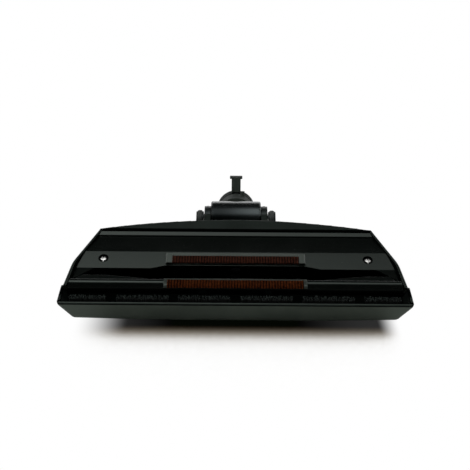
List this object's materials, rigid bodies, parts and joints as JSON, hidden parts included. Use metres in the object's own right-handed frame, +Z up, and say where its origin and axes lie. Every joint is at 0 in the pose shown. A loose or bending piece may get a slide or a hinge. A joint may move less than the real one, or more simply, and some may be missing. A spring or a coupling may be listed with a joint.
{
  "type": "vacuum floor brush head",
  "caption": "Wide black vacuum floor head lying sole up, with suction channel, red lint strips, retracting brush, rear wheels and a tilting, swivelling wand neck.",
  "frame": {"origin": "middle of the footprint, on the surface that the head lies on", "axes": "+X along the head's width, +Y towards the neck, +Z up out of the surface; the head lies on its roof, sole up"},
  "size_m": [0.28, 0.2076, 0.0529],
  "materials": {
    "housing_plastic": "satin moulded, near black",
    "sole_plastic": "satin moulded, near black",
    "neck_plastic": "satin moulded, near black",
    "brush_plastic": "matt moulded",
    "ring_plastic": "plain slide bearing plastic",
    "bristle": "dense dark bristle",
    "lint_velour": "dark red ribbed velour",
    "bright_steel": "bright zinc plated",
    "dark_steel": "blackened spring steel",
    "seal_rubber": "matt rubber",
    "tyre_rubber": "matt soft rubber"
  },
  "bodies": {
    "head": {"housing": "housing_plastic", "sole_plate": "sole_plastic", "sole_screws": "bright_steel", "rear_lint_holder": "sole_plastic", "rear_lint_pad": "lint_velour", "front_lint_holder": "sole_plastic", "front_lint_pad": "lint_velour", "pedal_pin": "dark_steel", "detent_spring": "dark_steel", "air_duct": "sole_plastic", "bearing_cap_right": "neck_plastic", "bearing_cap_left": "neck_plastic", "cap_screws": "bright_steel", "wheel_axle_right": "bright_steel", "wheel_axle_left": "bright_steel"},
    "brush": {"brush_carrier": "brush_plastic", "bristle_strips": "bristle"},
    "rocker": {"pedal": "neck_plastic"},
    "elbow": {"tilt_elbow": "neck_plastic", "swivel_seal": "seal_rubber"},
    "neck": {"wand_socket": "neck_plastic", "swivel_ring": "ring_plastic"},
    "right_wheel": {"wheel_right": "neck_plastic", "tyre_right": "tyre_rubber"},
    "left_wheel": {"wheel_left": "neck_plastic", "tyre_left": "tyre_rubber"}
  },
  "joints": [
    {"name": "neck_tilt", "type": "hinge", "parent": "head", "child": "elbow", "pos_m": [0, 0.03415, 0.02975], "axis": [-1, 0, 0], "range_deg": [-12, 58]},
    {"name": "neck_swivel", "type": "hinge", "parent": "elbow", "child": "neck", "pos_m": [0, 0.06007, 0.02528], "axis": [0, 0.9855, -0.1698], "range_deg": [-90, 90]},
    {"name": "pedal_rock", "type": "hinge", "parent": "head", "child": "rocker", "pos_m": [0, -0.03718, 0.00582], "axis": [-1, 0, 0], "range_deg": [0, 7.5]},
    {"name": "brush_lift", "type": "slide", "parent": "head", "child": "brush", "axis": [0, -0.2419, 0.9703], "range_m": [0, 0.00619]},
    {"name": "right_wheel_spin", "type": "hinge", "parent": "head", "child": "right_wheel", "pos_m": [0.0283, 0.01686, 0.03914], "axis": [1, 0, 0], "continuous": true},
    {"name": "left_wheel_spin", "type": "hinge", "parent": "head", "child": "left_wheel", "pos_m": [-0.0283, 0.01686, 0.03914], "axis": [1, 0, 0], "continuous": true}
  ],
  "couplings": [
    {"joint": "brush_lift", "follows": "pedal_rock", "m_per_rad": 0.047247}
  ]
}
